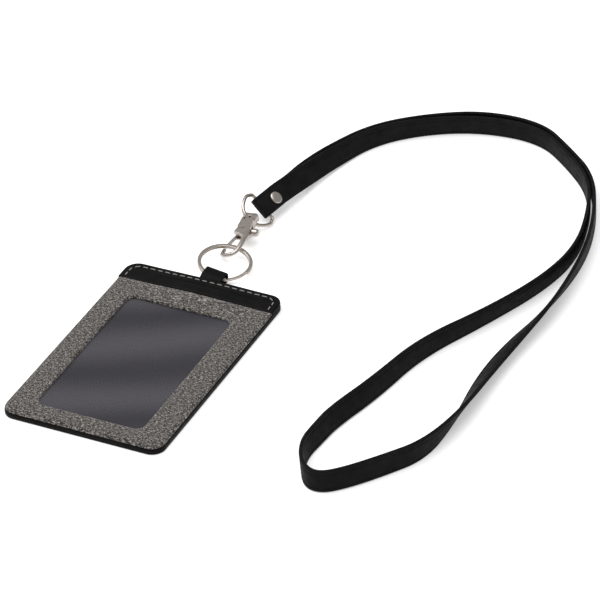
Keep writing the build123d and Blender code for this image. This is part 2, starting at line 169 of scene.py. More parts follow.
def spread(tree, value, low, high, to_low=0.0, to_high=1.0):
    """A value moved from one range to another and kept inside it."""
    made = add_node(tree, "ShaderNodeMapRange", {"Value": value, "From Min": low, "From Max": high,
                                                "To Min": to_low, "To Max": to_high})
    return made.outputs["Result"]


def mix_color(tree, factor, first, second):
    """Two colours mixed by a factor."""
    made = add_node(tree, "ShaderNodeMix", data_type="RGBA")
    for socket, value in ((made.inputs[0], factor), (made.inputs[6], first), (made.inputs[7], second)):
        if isinstance(value, bpy.types.NodeSocket):
            tree.links.new(value, socket)
        else:
            socket.default_value = (*value, 1.0) if isinstance(value, tuple) else value
    return made.outputs[2]


def math_node(tree, operation, first, second):
    """One sum of two values."""
    return add_node(tree, "ShaderNodeMath", {0: first, 1: second}, operation=operation).outputs[0]


def add_bump(tree, shader, height, strength, distance):
    """Raises the surface by a height, over distance in metres."""
    made = add_node(tree, "ShaderNodeBump", {"Height": height, "Strength": strength, "Distance": distance})
    tree.links.new(made.outputs[0], shader.inputs["Normal"])


def add_piece(name, mesh_data, material, body, replaces=()):
    """A smooth mesh from its points and faces, riding on a body."""
    mesh = bpy.data.meshes.new(name)
    mesh.from_pydata([tuple(v) for v in mesh_data[0]], [], mesh_data[1])
    return add_mesh(name, mesh, material, body, replaces)


def add_mesh(name, mesh, material, body, replaces=()):
    """A piece from a finished mesh."""
    shaped = bmesh.new()
    shaped.from_mesh(mesh)
    bmesh.ops.recalc_face_normals(shaped, faces=shaped.faces)
    for face in shaped.faces:
        face.smooth = True
    shaped.to_mesh(mesh)
    shaped.free()
    mesh.set_sharp_from_angle(angle=SHARP_ANGLE)
    piece = bpy.data.objects.new(name, mesh)
    scene.collection.objects.link(piece)
    mesh.materials.append(material)
    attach(piece, body)
    if replaces:
        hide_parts(*replaces)
    return piece


def loft(loops, closed=False):
    """Points and faces through loops of equal length; closed joins the last loop to the first."""
    count = len(loops[0])
    points = [p for loop in loops for p in loop]
    faces = []
    for i in range(len(loops) if closed else len(loops) - 1):
        here = i * count
        there = (i + 1) % len(loops) * count
        for k in range(count):
            n = (k + 1) % count
            faces.append((here + k, here + n, there + n, there + k))
    if not closed:
        faces.append(tuple(reversed(range(count))))
        faces.append(tuple(range(len(points) - count, len(points))))
    return points, faces


def join(*shapes):
    """Several shapes' points and faces as one."""
    points, faces = [], []
    for more_points, more_faces in shapes:
        start = len(points)
        points += more_points
        faces += [tuple(start + i for i in face) for face in more_faces]
    return points, faces


def moved(shape, matrix):
    """A shape taken through a matrix."""
    return [matrix @ Vector(p) for p in shape[0]], shape[1]


def axes(origin, x, y, z, scale=1.0):
    """The matrix of a frame given by its origin and its three directions."""
    made = Matrix.Identity(4)
    for column, direction in enumerate((x, y, z)):
        for row in range(3):
            made[row][column] = direction[row] * scale
    made.translation = origin
    return made


def spline_points(route, steps):
    """Points read from the NURBS line whose control points are the route's."""
    curve = bpy.data.curves.new("line", "CURVE")
    curve.dimensions = "3D"
    line = curve.splines.new("NURBS")
    line.points.add(len(route) - 1)
    for point, where in zip(line.points, route):
        point.co = (*where, 1.0)
    line.order_u = 3
    line.use_endpoint_u = True
    line.resolution_u = steps
    holder = bpy.data.objects.new("line", curve)
    mesh = bpy.data.meshes.new_from_object(holder)
    points = [v.co.copy() for v in mesh.vertices]
    bpy.data.meshes.remove(mesh)
    bpy.data.objects.remove(holder)
    bpy.data.curves.remove(curve)
    return points


def tangents(points):
    """The direction of a line at each of its points."""
    ends = [points[0]] + list(points) + [points[-1]]
    return [(b - a).normalized() for a, b in zip(ends, ends[2:])]


def tube(points, radius, segments, flat=1.0):
    """A tube along points; radius is one value or one for each point, and flat thins it along Z."""
    radii = radius if isinstance(radius, list) else [radius] * len(points)
    loops = []
    for spot, heading, r in zip(points, tangents(points), radii):
        across = heading.cross(UP).normalized()
        other = across.cross(heading).normalized() * flat
        loops.append([spot + (across * math.cos(a) + other * math.sin(a)) * r
                      for a in (2 * math.pi * k / segments for k in range(segments))])
    return loft(loops)


def lathe(profile, segments=48):
    """A round shape about Z from rows of radius and height; its ends are closed."""
    loops = [[Vector((r * math.cos(a), r * math.sin(a), z))
              for a in (2 * math.pi * k / segments for k in range(segments))] for r, z in profile]
    return loft(loops)


def prism(outline, low, high):
    """A plate from its outline between two heights."""
    return loft([[Vector((x, y, low)) for x, y in outline], [Vector((x, y, high)) for x, y in outline]])


def thread_dash(middle, along, out, length, width, height):
    """One stitch: a rounded length of thread that dips at both ends."""
    across = along.cross(out).normalized()
    loops = []
    for share, size, sink in ((-1, 0.25, -0.9), (-0.93, 0.62, -0.45), (-0.72, 0.93, -0.1), (-0.3, 1, 0),
                              (0.3, 1, 0), (0.72, 0.93, -0.1), (0.93, 0.62, -0.45), (1, 0.25, -0.9)):
        centre = middle + along * (share * length / 2) + out * (sink * height / 2)
        loops.append([centre + across * (math.cos(a) * size * width / 2)
                      + out * (math.sin(a) * size * height / 2)
                      for a in (math.pi * k / 4 for k in range(8))])
    return loft(loops)


# ---------------------------------------------------------------- materials
# The bands of light that lie across the window
BAND_TURN = math.radians(30.0)
BAND_PITCH = 35.6                    # millimetres from one band to the next
BAND_PHASE = 1.83
WAVE_UNIT = 20 / (2 * math.pi)       # waves of a wave texture in one unit of its coordinates


def pu_material(name, color, grain, roughness, shine):
    """Coated synthetic leather: fine pebbled grain, faint cloudiness and uneven gloss."""
    made, tree, shader = new_material(name, color, roughness, Specular_IOR_Level=shine)
    cloud = noise_at(tree, (6.0, 6.0, 6.0), 3.0)
    tint = mix_color(tree, spread(tree, cloud, 0.35, 0.7), color, tuple(c * 1.5 + 0.001 for c in color))
    tree.links.new(tint, shader.inputs["Base Color"])
    gloss = spread(tree, noise_at(tree, (2.5, 2.5, 2.5), 4.0), 0.3, 0.7, roughness - 0.08, roughness + 0.1)
    tree.links.new(gloss, shader.inputs["Roughness"])
    pebble = add_node(tree, "ShaderNodeTexVoronoi", {"Vector": coordinates(tree, (grain,) * 3), "Scale": 1.0},
                      feature="SMOOTH_F1").outputs["Distance"]
    fine = noise_at(tree, (grain / 2,) * 3, 2.0)
    add_bump(tree, shader, math_node(tree, "ADD", pebble, fine), 0.35, 0.05 * MM)
    return made


def fabric_material():
    """Heather cloth: a plain weave of mixed light and dark yarns with slubs along its weft."""
    made, tree, shader = new_material("heather_fabric", (0.2, 0.19, 0.175), 0.92, Specular_IOR_Level=0.15,
                                      Sheen_Weight=0.25, Sheen_Roughness=0.5)
    weft = noise_at(tree, (1.35, 0.5, 1.0), 1.5, 0.6)
    warp = noise_at(tree, (0.5, 1.15, 1.0), 1.5, 0.6)
    speck = noise_at(tree, (0.5, 0.42, 0.5), 1.0, 0.5)
    slub = noise_at(tree, (2.6, 0.6, 2.0), 1.0, 0.5)
    yarn = math_node(tree, "ADD", spread(tree, weft, 0.36, 0.64), spread(tree, warp, 0.38, 0.64, 0.0, 0.6))
    yarn = math_node(tree, "ADD", yarn, spread(tree, speck, 0.34, 0.66, -0.35, 0.45))
    yarn = math_node(tree, "ADD", yarn, spread(tree, slub, 0.58, 0.74, 0.0, 0.4))
    ramp = add_node(tree, "ShaderNodeValToRGB", {"Fac": spread(tree, yarn, 0.1, 1.75)})
    stops = ((0.0, (0.010, 0.009, 0.008)), (0.3, (0.038, 0.033, 0.030)), (0.6, (0.116, 0.104, 0.095)),
             (1.0, (0.40, 0.375, 0.35)))
    while len(ramp.color_ramp.elements) < len(stops):
        ramp.color_ramp.elements.new(0.5)
    for element, (place, color) in zip(ramp.color_ramp.elements, stops):
        element.position = place
        element.color = (*color, 1.0)
    tree.links.new(ramp.outputs["Color"], shader.inputs["Base Color"])
    rows, columns = [add_node(tree, "ShaderNodeTexWave",
                              {"Vector": coordinates(tree, (0.62, 0.62, 0.62)), "Scale": 1.0,
                               "Distortion": 1.2, "Detail": 1.0}, bands_direction=way).outputs["Fac"]
                     for way in ("Y", "X")]
    weave = math_node(tree, "MULTIPLY", rows, columns)
    add_bump(tree, shader, math_node(tree, "ADD", weave, yarn), 0.45, 0.07 * MM)
    return made


def nickel_material(name, color, roughness):
    """Satin metal, faintly stained, with soft polishing marks."""
    made, tree, shader = new_material(name, color, roughness, 1.0)
    stain = noise_at(tree, (4.0, 4.0, 4.0), 2.0)
    tint = mix_color(tree, spread(tree, stain, 0.3, 0.7), tuple(c * 0.93 for c in color), color)
    tree.links.new(tint, shader.inputs["Base Color"])
    gloss = spread(tree, noise_at(tree, (1.6, 1.6, 1.6), 2.0, 0.5), 0.3, 0.7,
                   roughness - 0.04, roughness + 0.05)
    tree.links.new(gloss, shader.inputs["Roughness"])
    add_bump(tree, shader, noise_at(tree, (1.4, 1.4, 1.4), 2.0), 0.08, 0.03 * MM)
    return made


def thread_material(name, color):
    """Spun thread with a fine twist, its grooves darkened with painted shade."""
    made, tree, shader = new_material(name, color, 0.8, Specular_IOR_Level=0.2)
    twist = add_node(tree, "ShaderNodeTexWave", {"Vector": coordinates(tree, (0.3, 0.3, 0.3)), "Scale": 1.0,
                                                "Distortion": 1.0}, bands_direction="DIAGONAL").outputs["Fac"]
    # Painted shade: the twist's grooves, the low parts of its bump, are coloured darker, as shade between the
    # plies.
    tint = mix_color(tree, twist, tuple(c * 0.6 for c in color), color)
    tree.links.new(tint, shader.inputs["Base Color"])
    add_bump(tree, shader, twist, 0.5, 0.05 * MM)
    return made


def film_material():
    """Clear flexible sheet with a smoky tone and wide soft bands of reflected light."""
    made, tree, shader = new_material("clear_film", (0.10, 0.10, 0.12), 0.16, Alpha=0.3,
                                      Specular_IOR_Level=0.25)
    place = coordinates(tree, (WAVE_UNIT * BAND_PITCH,) * 3, BAND_TURN)
    band = add_node(tree, "ShaderNodeTexWave",
                    {"Vector": place, "Scale": 1.0, "Distortion": 1.2, "Detail": 0.0, "Detail Scale": 2.0,
                     "Phase Offset": BAND_PHASE}, bands_direction="Y")
    tint = mix_color(tree, band.outputs["Fac"], (0.07, 0.066, 0.078), (0.145, 0.138, 0.153))
    tree.links.new(tint, shader.inputs["Base Color"])
    return made


def lining_material():
    """Thin woven charcoal lining."""
    made, tree, shader = new_material("charcoal_lining", (0.028, 0.028, 0.032), 0.8, Specular_IOR_Level=0.15)
    weave = noise_at(tree, (0.5, 0.35, 0.5), 2.0)
    tint = mix_color(tree, spread(tree, weave, 0.3, 0.7), (0.027, 0.027, 0.031), (0.029, 0.029, 0.033))
    tree.links.new(tint, shader.inputs["Base Color"])
    return made


def board_material():
    """Pressed grey card."""
    made, tree, shader = new_material("grey_board", (0.42, 0.4, 0.37), 0.9)
    tint = mix_color(tree, noise_at(tree, (0.5, 0.5, 0.5), 4.0), (0.34, 0.32, 0.29), (0.5, 0.48, 0.45))
    tree.links.new(tint, shader.inputs["Base Color"])
    add_bump(tree, shader, noise_at(tree, (0.3, 0.3, 0.3), 2.0), 0.2, 0.05 * MM)
    return made


MATERIALS = {
    "black_pu": pu_material("black_pu", (0.0036, 0.0032, 0.0034), 0.42, 0.5, 0.06),
    "strap_pu": pu_material("strap_pu", (0.0056, 0.0056, 0.0058), 0.36, 0.62, 0.06),
    "grey_fabric": fabric_material(),
    "grey_thread": thread_material("grey_thread", (0.33, 0.32, 0.30)),
    "strap_thread": thread_material("strap_thread", (0.0012, 0.0012, 0.0013)),
    "nickel": nickel_material("nickel", (0.47, 0.425, 0.39), 0.36),
    "ring_nickel": nickel_material("ring_nickel", (0.50, 0.45, 0.405), 0.28),
    "spring_steel": nickel_material("spring_steel", (0.5, 0.5, 0.5), 0.3),
    "clear_film": film_material(),
    "charcoal_lining": lining_material(),
    "grey_board": board_material(),
}


# ---------------------------------------------------------------- strap
def end_frame():
    """The strap end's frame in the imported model: the D-ring's bar, X along the strap, Y to its upper edge."""
    left = UP.cross(END_ALONG)
    up_edge = left * math.sin(END_LEAN) + UP * math.cos(END_LEAN)
    return axes(BAR_CENTRE, END_ALONG, up_edge, END_ALONG.cross(up_edge))


def end_row(row):
    """A control point and its upper-edge direction from a row in the strap end's plane."""
    place = end_frame()
    return place @ Vector((row[0], 0, row[1])), place.col[1].to_3d()


def route_rows(route):
    """Control points and upper-edge directions from a route's rows."""
    rows = []
    for i, (x, y, lift, lean) in enumerate(route):
        before, after = route[max(i - 1, 0)], route[min(i + 1, len(route) - 1)]
        heading = Vector((after[0] - before[0], after[1] - before[1], 0)).normalized()
        tilt = math.radians(lean)
        height = STRAP_W / 2 * math.cos(tilt) + STRAP_T / 2 * abs(math.sin(tilt)) + lift
        rows.append((Vector((x, y, height)), heading.cross(UP) * math.sin(tilt) + UP * math.cos(tilt)))
    return rows


def strap_section():
    """The strap's section, across its width and out of its face, pressed in along both seams."""
    half, t = STRAP_W / 2, STRAP_T / 2
    side = [(-1.0, 0.0), (-0.985, 0.55), (-0.95, 0.82), (-0.86, 0.97), (-0.72, 0.96), (-0.66, 0.80),
            (-0.60, 0.96), (-0.40, 1.0), (0.0, 1.0)]
    top = side + [(-x, y) for x, y in reversed(side[:-1])]
    ring = top + [(x, -y) for x, y in reversed(top[1:-1])]
    return [(x * half, y * t) for x, y in ring]


def strap_line():
    """The strap's middle line, and at each of its points the tangent, upper edge and face directions."""
    rows = [end_row(r) for r in LOWER_PLY + UPPER_PLY]
    rows += route_rows(INNER_ROUTE + OUTER_ROUTE) + [end_row(r) for r in TONGUE]
    middle = spline_points([spot for spot, edge in rows], 12)
    upper = spline_points([spot + edge * STRAP_W / 2 for spot, edge in rows], 12)
    frames = []
    for spot, top, heading in zip(middle, upper, tangents(middle)):
        edge = top - spot
        edge = (edge - heading * edge.dot(heading)).normalized()
        frames.append((spot, heading, edge, heading.cross(edge)))
    return frames


def build_strap():
    """The strap in one length, from its folded end, round the loop and back between the fold's plies."""
    frames = strap_line()
    section = strap_section()
    loops = [[spot + edge * a + face * b for a, b in section] for spot, heading, edge, face in frames]
    strap = add_piece("neck_strap", loft(loops), MATERIALS["strap_pu"], "strap",
                      ("strap_fold", "strap_inner_run", "strap_outer_run", "strap_outer_end"))
    seams = add_piece("strap_seams", strap_seams(frames), MATERIALS["strap_thread"], "strap")


def strap_seams(frames):
    """Stitches along both edges, on both faces."""
    reach = STRAP_W / 2 - STITCH_FROM_EDGE
    stitches = []
    travelled, wanted = 0.0, STITCH_PITCH
    for one, two in zip(frames, frames[1:]):
        step = (two[0] - one[0]).length
        while travelled + step > wanted:
            share = (wanted - travelled) / step
            spot, heading, edge, face = [a.lerp(b, share) for a, b in zip(one, two)]
            for side in (-1, 1):
                for out in (-1, 1):
                    middle = spot + edge * (side * reach) + face * (out * STRAP_T * STITCH_LEVEL)
                    stitches.append(thread_dash(middle, heading.normalized(), face * out, STITCH_LENGTH,
                                                0.34 * MM, 0.3 * MM))
            wanted += STITCH_PITCH
        travelled += step
    return join(*stitches)


def build_rivet():
    """The rivet's low domed head on the strap's face."""
    profile = [(0.7, -3.2), (1.2, -3.2), (1.2, 2.5), (2.5, 2.5), (2.78, 2.62), (2.85, 2.85), (2.72, 3.1),
               (2.4, 3.26), (1.7, 3.38), (0.9, 3.44), (0.25, 3.46)]
    place = end_frame() @ Matrix.Translation(RIVET_PLACE) @ Matrix.Scale(MM, 4)
    add_piece("rivet_head", moved(lathe(profile), place), MATERIALS["nickel"], "strap",
              ("rivet_cap",))


# ---------------------------------------------------------------- pocket
COVER_LOW, COVER_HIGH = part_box("back_cover")
FABRIC_LOW, FABRIC_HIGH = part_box("fabric_front")
BAND_LOW, BAND_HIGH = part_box("top_band")
FILM_LOW, FILM_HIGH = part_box("window_film")
TAB_LOW, TAB_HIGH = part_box("tab_loop")
CORNER_R = 6.0 * MM
WINDOW_LAP = 4.0 * MM      # how far the clear sheet reaches under the front
WINDOW_R = 4.0 * MM
FRONT_TOP = FABRIC_HIGH.z
TAB_X = (TAB_LOW.x + TAB_HIGH.x) / 2
TAB_W = 9.6 * MM
MOUTH_HALF = 28.5 * MM     # half the width of the card's mouth
MOUTH_DEPTH = 2.6 * MM     # from the pocket's top edge down
MOUTH_LEVEL = 1.9 * MM
TRAY_FLOOR = 0.6 * MM
CORNER_STEPS = 8
SIDE_STEPS = 34


def outline(low, high, bottom_r, top_r, inset=0.0):
    """A rounded rectangle in the plane, set in by inset, as the same number of points each time."""
    b, t = max(bottom_r - inset, 0.25 * MM), max(top_r - inset, 0.25 * MM)
    x0, x1, y0, y1 = low.x + inset, high.x - inset, low.y + inset, high.y - inset
    corners = [(x1 - b, y0 + b, b, -90), (x1 - t, y1 - t, t, 0),
               (x0 + t, y1 - t, t, 90), (x0 + b, y0 + b, b, 180)]
    arcs = [[Vector((cx + r * math.cos(a), cy + r * math.sin(a), 0))
             for a in (math.radians(start + 90 * k / CORNER_STEPS) for k in range(CORNER_STEPS + 1))]
            for cx, cy, r, start in corners]
    points = []
    for i, arc in enumerate(arcs):
        follow = arcs[(i + 1) % 4][0]
        points += arc + [arc[-1].lerp(follow, k / SIDE_STEPS) for k in range(1, SIDE_STEPS)]
    return points


def smooth_step(value):
    """From 0 to 1 with level ends."""
    value = min(max(value, 0.0), 1.0)
    return value * value * (3 - 2 * value)


def puff(x, y):
    """How far the front stands proud over the tab's thick root."""
    across = math.exp(-((x - TAB_X) / (21 * MM)) ** 2)
    along = smooth_step((y - 36 * MM) / (12 * MM)) * (1 - 0.55 * smooth_step((y - 50 * MM) / (8 * MM)))
    return 0.95 * MM * across * along


def raised(points, z, puffed=1.0, ripple=0.0):
    """A flat loop lifted to a height, with the front's swell and a faint unevenness."""
    lifted = []
    for p in points:
        uneven = noise.noise(Vector((p.x, p.y, z)) / (7 * MM)) * ripple
        lifted.append(Vector((p.x, p.y, z + puffed * puff(p.x, p.y) + uneven)))
    return lifted


def back_cover():
    """The tray: back skin and rolled rim, with the card's mouth along its top edge."""
    top = COVER_HIGH.z
    rows = [(0.45, 0.0), (0.15, 0.1), (0.0, 0.42), (0.0, 2.1), (0.1, 2.42), (0.35, 2.58), (0.7, 2.6),
            (1.7, 2.6), (1.95, 2.5), (2.0, 2.3), (2.0, 1.0), (2.0, 0.6)]
    loops = []
    for inset, z in rows:
        loop = outline(COVER_LOW, COVER_HIGH, CORNER_R, CORNER_R, inset * MM)
        for p in loop:
            in_mouth = p.y > COVER_HIGH.y - MOUTH_DEPTH and abs(p.x) < MOUTH_HALF
            p.z = min(z * MM, MOUTH_LEVEL if in_mouth else top)
        loops.append(loop)
    middle = [Vector((p.x * 0.5, p.y * 0.7, TRAY_FLOOR)) for p in loops[-1]]
    under = [Vector((p.x * 0.5, p.y * 0.7, 0)) for p in loops[0]]
    add_piece("back_cover_skin", loft([under] + loops + [middle]), MATERIALS["black_pu"], "pocket",
              ("back_cover",))


def window_outline(grow):
    """The window's opening, larger all round by grow."""
    return outline(FILM_LOW, FILM_HIGH, WINDOW_LAP + WINDOW_R, WINDOW_LAP + WINDOW_R, WINDOW_LAP - grow)


def fabric_front():
    """The cloth front: a padded frame rolled over its outer edge and down into the window."""
    def outer(inset):
        return outline(FABRIC_LOW, FABRIC_HIGH, CORNER_R - 0.9 * MM, 0.6 * MM, inset * MM)

    def between(share):
        return [a.lerp(b, share) for a, b in zip(outer(1.6), window_outline(1.5 * MM))]

    top = FRONT_TOP + 0.1 * MM
    edge = [(-0.4, 2.62), (-0.62, 2.8), (-0.58, 3.15), (-0.3, 3.52), (0.25, 3.82), (1.0, 3.95)]
    roll = [(1.0, 3.93), (0.55, 3.78), (0.2, 3.5), (0.05, 3.2), (0.0, 2.95), (0.05, 2.87)]
    loops = [raised(outer(inset), z * MM, 0.75, 0.02 * MM) for inset, z in edge]
    loops += [raised(between(k / 7), top + 0.05 * MM * math.sin(math.pi * k / 7), 1.0, 0.04 * MM)
              for k in range(8)]
    loops += [raised(window_outline(grow * MM), z * MM, 0.8) for grow, z in roll]
    under = [raised([a.lerp(b, share) for a, b in zip(window_outline(0), outer(0.25))], 2.87 * MM, 0.2)
             for share in (0.4, 0.9)]
    piece = add_piece("padded_fabric_front", loft(loops + under, closed=True), MATERIALS["grey_fabric"],
                      "pocket", ("fabric_front",))


def top_band():
    """The smooth band across the top, swelling over the tab's root."""
    low = Vector((COVER_LOW.x, BAND_LOW.y, 0))
    high = Vector((COVER_HIGH.x, COVER_HIGH.y, 0))
    rows = [(0.5, 2.61, 0.0), (0.1, 2.63, 0.0), (0.0, 2.9, 0.05), (0.0, 3.45, 0.3), (0.12, 3.8, 0.6),
            (0.4, 4.0, 0.8), (0.9, 4.08, 1.0), (2.0, 4.1, 1.1), (3.0, 4.06, 1.15), (4.2, 4.12, 1.2)]
    loops = []
    for inset, z, swell in rows:
        loops.append(raised(outline(low, high, 0.5 * MM, CORNER_R, inset * MM), z * MM, swell, 0.03 * MM))
    core_low, core_high = low + Vector((6, 5.6, 0)) * MM, high - Vector((6, 5.6, 0)) * MM
    loops.append(raised(outline(core_low, core_high, 0.3 * MM, 0.3 * MM), 4.12 * MM, 1.2))
    add_piece("top_band_skin", loft(loops), MATERIALS["black_pu"], "pocket", ("top_band",))


def band_level(x, y):
    """The band's surface over a point."""
    return 4.07 * MM + 1.1 * puff(x, y)


def band_stitching():
    """The row of thread along the band's top and down both ends."""
    inset, pitch, length = 2.8 * MM, 3.5 * MM, 2.55 * MM
    side, top = COVER_HIGH.x - inset, COVER_HIGH.y - inset
    radius = CORNER_R - 1.5 * MM
    foot = BAND_LOW.y + 0.9 * MM
    route = [Vector((-side, foot + (top - radius - foot) * k / 4, 0)) for k in range(4)]
    for cx, start in ((-side + radius, 180), (side - radius, 90)):
        route += [Vector((cx + radius * math.cos(a), top - radius + radius * math.sin(a), 0))
                  for a in (math.radians(start - 90 * k / 12) for k in range(13))]
    route += [Vector((side, foot + (top - radius - foot) * (3 - k) / 4, 0)) for k in range(4)]
    total = sum((b - a).length for a, b in zip(route, route[1:]))
    count = round(total / pitch)
    dashes = []
    travelled, index = 0.0, 0
    for a, b in zip(route, route[1:]):
        step = (b - a).length
        while index < count and travelled + step >= (index + 0.5) * total / count:
            spot = a.lerp(b, ((index + 0.5) * total / count - travelled) / step)
            heading = (b - a).normalized()
            skew = Matrix.Rotation(math.radians(random.uniform(-3, 5)), 3, "Z")
            ahead = spot + heading * MM
            rise = band_level(ahead.x, ahead.y) - band_level(spot.x, spot.y)
            heading = (skew @ heading + UP * rise / MM).normalized()
            middle = Vector((spot.x, spot.y, band_level(spot.x, spot.y) + 0.06 * MM))
            size = length * random.uniform(0.94, 1.04)
            dashes.append(thread_dash(middle, heading, UP, size, 0.52 * MM, 0.42 * MM))
            index += 1
        travelled += step
    add_piece("band_thread", join(*dashes), MATERIALS["grey_thread"], "pocket",
              ("band_stitching",))


def wavy_sheet(name, low, high, wave, slot, node):
    """A thin sheet with a slow wave in it, its material named as its slot is."""
    columns, rows = 24, 40
    points = []
    for level in (low.z, high.z):
        for j in range(rows + 1):
            for i in range(columns + 1):
                x = low.x + (high.x - low.x) * i / columns
                y = low.y + (high.y - low.y) * j / rows
                lift = noise.noise(Vector((x / (38 * MM), y / (30 * MM), 3.7))) * wave
                points.append(Vector((x, y, level + lift)))
    stride, layer = columns + 1, (columns + 1) * (rows + 1)
    faces = []
    for j in range(rows):
        for i in range(columns):
            a = j * stride + i
            faces.append((a, a + stride, a + stride + 1, a + 1))
            faces.append((layer + a, layer + a + 1, layer + a + stride + 1, layer + a + stride))
    border = list(range(stride)) + [j * stride + columns for j in range(1, rows + 1)]
    border += [rows * stride + i for i in range(columns - 1, -1, -1)]
    border += [j * stride for j in range(rows - 1, 0, -1)]
    for a, b in zip(border, border[1:] + border[:1]):
        faces.append((a, b, layer + b, layer + a))
    add_piece(name, (points, faces), MATERIALS[slot], "pocket", (node,))


def tab_strip():
    """The tab: a strip folded round the split ring, its two plies sewn into the pocket's top."""
    thick = 0.7
    root_low, root_high = 3.02, 3.86
    eye_low, eye_high = 3.155 - 2.11, 3.155 + 2.11
    eye_far = 65.9
    route = [(50.0, root_low), (55.0, root_low), (58.6, root_low - 0.2), (60.4, eye_low), (62.4, eye_low),
             (eye_far, eye_low), (eye_far, eye_high), (62.4, eye_high), (60.4, eye_high),
             (58.6, root_high + 0.5), (55.0, root_high + 0.2), (50.0, root_high)]
    line = spline_points([Vector((0, y, z)) for y, z in route], 10)
    section = [(-1, 0), (-0.99, 0.6), (-0.96, 0.9), (-0.9, 1.0), (-0.84, 0.93), (-0.78, 1.0), (-0.4, 1.02),
               (0, 1.03)]
    section += [(-x, y) for x, y in reversed(section[:-1])]
    section += [(x, -y) for x, y in reversed(section[1:-1])]
    loops = []
    for spot, heading in zip(line, tangents(line)):
        out = heading.cross(Vector((1, 0, 0))).normalized()
        twist = smooth_step((spot.y - 55) / 5) * -0.13
        loop = []
        for a, b in section:
            x = a * TAB_W / MM / 2
            p = spot + out * (b * thick / 2)
            loop.append(Vector((TAB_X + x * MM, p.y * MM, (p.z + twist * x) * MM)))
        loops.append(loop)
    add_piece("tab_strip", loft(loops), MATERIALS["black_pu"], "pocket", ("tab_loop",))


# ---------------------------------------------------------------- metal
HOOK_BASE = Vector((-0.0006, 0.0781, 0.0041))
HOOK_ALONG = Vector((-0.067, 0.995, 0.070)).normalized()
HOOK_ROLL = math.radians(7.0)
PIN_Y = 19.0               # the gate's pin, in the hook's millimetres
D_WIRE_R = 0.8 * MM


def hook_frame():
    """The hook's own frame in millimetres: the foot of its claw, Y to its eye, Z out of its front."""
    level = HOOK_ALONG.cross(UP).normalized()
    right = level * math.cos(HOOK_ROLL) + level.cross(HOOK_ALONG) * math.sin(HOOK_ROLL)
    return axes(HOOK_BASE, right, HOOK_ALONG, right.cross(HOOK_ALONG), MM)


def cast(name, shape, voxel, smoothing, body, node):
    """One rounded nickel casting from overlapping solids, given in the hook's millimetres."""
    mesh = bpy.data.meshes.new(name)
    mesh.from_pydata([tuple(v) for v in shape[0]], [], shape[1])
    shaped = bmesh.new()
    shaped.from_mesh(mesh)
    bmesh.ops.recalc_face_normals(shaped, faces=shaped.faces)
    shaped.to_mesh(mesh)
    shaped.free()
    rough = bpy.data.objects.new(name + "_rough", mesh)
    scene.collection.objects.link(rough)
    remesh = rough.modifiers.new("remesh", "REMESH")
    remesh.mode = "VOXEL"
    remesh.voxel_size = voxel
    soften = rough.modifiers.new("soften", "SMOOTH")
    soften.factor = 0.5
    soften.iterations = smoothing
    bpy.context.view_layer.update()
    final = bpy.data.meshes.new_from_object(rough.evaluated_get(bpy.context.evaluated_depsgraph_get()))
    final.name = name
    bpy.data.objects.remove(rough)
    final.transform(hook_frame())
    add_mesh(name, final, MATERIALS["nickel"], body, (node,))


def box_shape(x, y, z):
    """A box from its low and high value on each axis."""
    return prism([(x[0], y[0]), (x[1], y[0]), (x[1], y[1]), (x[0], y[1])], z[0], z[1])


def hook_body():
    """The hook's casting: eye, front and back plates, left wall and claw."""
    front = prism([(-1.75, 21.0), (-2.55, 15.3), (-1.0, 14.7), (0.6, 14.2), (2.4, 13.0), (5.1, 13.5),
                   (4.3, 17.5), (3.4, 22.0), (2.9, 25.6), (1.6, 26.3), (-1.0, 25.7), (-1.7, 24.6)], 0.15, 1.9)
    back = prism([(-1.9, 26.0), (-2.5, 15.4), (3.4, 15.4), (2.9, 26.0)], -2.95, -2.1)
    wall = box_shape((-2.6, -1.9), (19.5, 25.0), (-2.95, 1.85))
    head = box_shape((-2.9, 2.9), (23.6, 25.3), (-2.9, 1.7))
    sill = box_shape((-3.2, 3.2), (24.6, 25.6), (-1.2, 1.2))
    posts = [box_shape((-3.5, -2.45), (24.8, 29.2), (-1.2, 0.9)),
             box_shape((2.3, 3.5), (24.8, 29.2), (-1.3, 1.2))]
    top = prism([(-3.6, 28.1), (-3.7, 29.3), (-2.9, 30.3), (2.6, 30.0), (3.5, 29.2), (3.6, 28.1)], -1.6, 1.5)
    bridge = prism([(0.5, 25.0), (3.3, 25.0), (3.5, 28.9), (1.0, 28.9)], 1.0, 1.65)
    bar = [Vector(p) for p in ((3.9, 15.5, 1.1), (4.2, 11.0, 1.2), (4.35, 7.0, 1.3), (4.2, 3.8, 1.05),
                               (3.3, 1.5, 0.6), (1.2, 0.8, 0.0), (-1.2, 0.9, -0.6), (-2.9, 1.7, -1.05),
                               (-3.35, 3.4, -1.3), (-3.4, 5.7, -1.45))]
    line = spline_points(bar, 10)
    radii = [1.3 - 0.36 * smooth_step(i / (len(line) * 0.5)) for i in range(len(line))]
    claw = tube(line, radii, 20, 0.95)
    shoulder = box_shape((3.0, 5.0), (12.8, 15.6), (0.1, 1.85))
    cast("hook_casting", join(front, back, wall, head, sill, *posts, top, bridge, claw, shoulder),
         voxel=0.15, smoothing=13, body="hook", node="hook_body")


